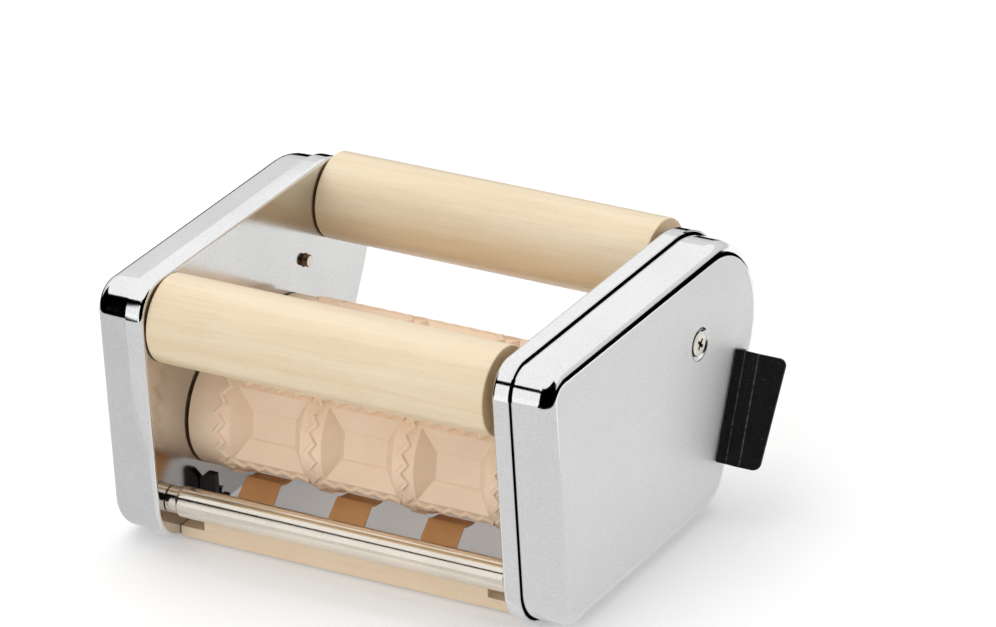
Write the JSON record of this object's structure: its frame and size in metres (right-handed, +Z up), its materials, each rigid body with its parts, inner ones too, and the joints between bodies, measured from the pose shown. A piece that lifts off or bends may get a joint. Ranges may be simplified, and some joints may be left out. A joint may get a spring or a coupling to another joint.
{
  "type": "ravioli attachment for a hand pasta machine",
  "caption": "Ravioli attachment for a hand pasta machine: wooden guide rollers over geared, moulded ravioli rollers between two chromed housings, with combs below and mounting lugs behind",
  "frame": {"origin": "centre of the footprint's bounding box, on the surface the part stands on", "axes": "X along the rollers from the crank side to the gear side, Y from the front to the lugs' side, Z up"},
  "size_m": [0.2718, 0.19, 0.1249],
  "materials": {
    "chrome": "polished chrome plate",
    "satin_steel": "satin chromed steel",
    "beech": "fine sanded, unvarnished",
    "peach_plastic": "satin moulded",
    "cream_plastic": "satin moulded",
    "black_plastic": "moulded",
    "white_nylon": "moulded",
    "black_paint": "semi-gloss",
    "bright_steel": "bright zinc plate"
  },
  "bodies": {
    "housing": {"left_side_plate": "chrome", "right_side_plate": "chrome", "left_cover": "satin_steel", "gear_cover": "satin_steel", "front_roller_axle": "bright_steel", "front_left_axle_clip": "bright_steel", "front_right_axle_clip": "bright_steel", "front_left_bush": "white_nylon", "front_right_bush": "white_nylon", "front_tie_rod": "chrome", "front_comb": "cream_plastic", "front_left_rod_screw": "bright_steel", "front_left_bracket": "black_plastic", "front_left_bracket_screw": "bright_steel", "front_right_rod_screw": "bright_steel", "front_right_bracket": "black_plastic", "front_right_bracket_screw": "bright_steel", "rear_roller_axle": "bright_steel", "rear_left_axle_clip": "bright_steel", "rear_right_axle_clip": "bright_steel", "rear_left_bush": "white_nylon", "rear_right_bush": "white_nylon", "rear_tie_rod": "chrome", "rear_comb": "cream_plastic", "rear_left_rod_screw": "bright_steel", "rear_left_bracket": "black_plastic", "rear_left_bracket_screw": "bright_steel", "rear_right_rod_screw": "bright_steel", "rear_right_bracket": "black_plastic", "rear_right_bracket_screw": "bright_steel", "left_pillar": "bright_steel", "left_cover_screw": "bright_steel", "left_lug": "black_paint", "left_lower_rivet": "bright_steel", "left_upper_rivet": "bright_steel", "right_pillar": "bright_steel", "right_cover_screw": "bright_steel", "right_lug": "black_paint", "right_lower_rivet": "bright_steel", "right_upper_rivet": "bright_steel"},
    "front_wood": {"front_wood_roller": "beech"},
    "rear_wood": {"rear_wood_roller": "beech"},
    "front_mould": {"front_mould_roller": "peach_plastic", "front_mould_shaft": "bright_steel", "front_drive_gear": "bright_steel", "front_gear_clip": "bright_steel", "crank_socket": "bright_steel", "crank_pin": "bright_steel"},
    "rear_mould": {"rear_mould_roller": "peach_plastic", "rear_mould_shaft": "bright_steel", "rear_drive_gear": "bright_steel", "rear_gear_clip": "bright_steel"}
  },
  "joints": [
    {"name": "front_wood_spin", "type": "hinge", "parent": "housing", "child": "front_wood", "pos_m": [-0.0012, -0.07392, 0.1047], "axis": [1, 0, 0], "continuous": true},
    {"name": "rear_wood_spin", "type": "hinge", "parent": "housing", "child": "rear_wood", "pos_m": [-0.0012, 0.06603, 0.1047], "axis": [1, 0, 0], "continuous": true},
    {"name": "front_mould_spin", "type": "hinge", "parent": "housing", "child": "front_mould", "pos_m": [-0.0012, -0.03761, 0.0489], "axis": [1, 0, 0], "continuous": true},
    {"name": "rear_mould_spin", "type": "hinge", "parent": "housing", "child": "rear_mould", "pos_m": [-0.0012, 0.01769, 0.0489], "axis": [1, 0, 0], "continuous": true}
  ],
  "couplings": [
    {"joint": "rear_mould_spin", "follows": "front_mould_spin", "ratio": -1}
  ]
}
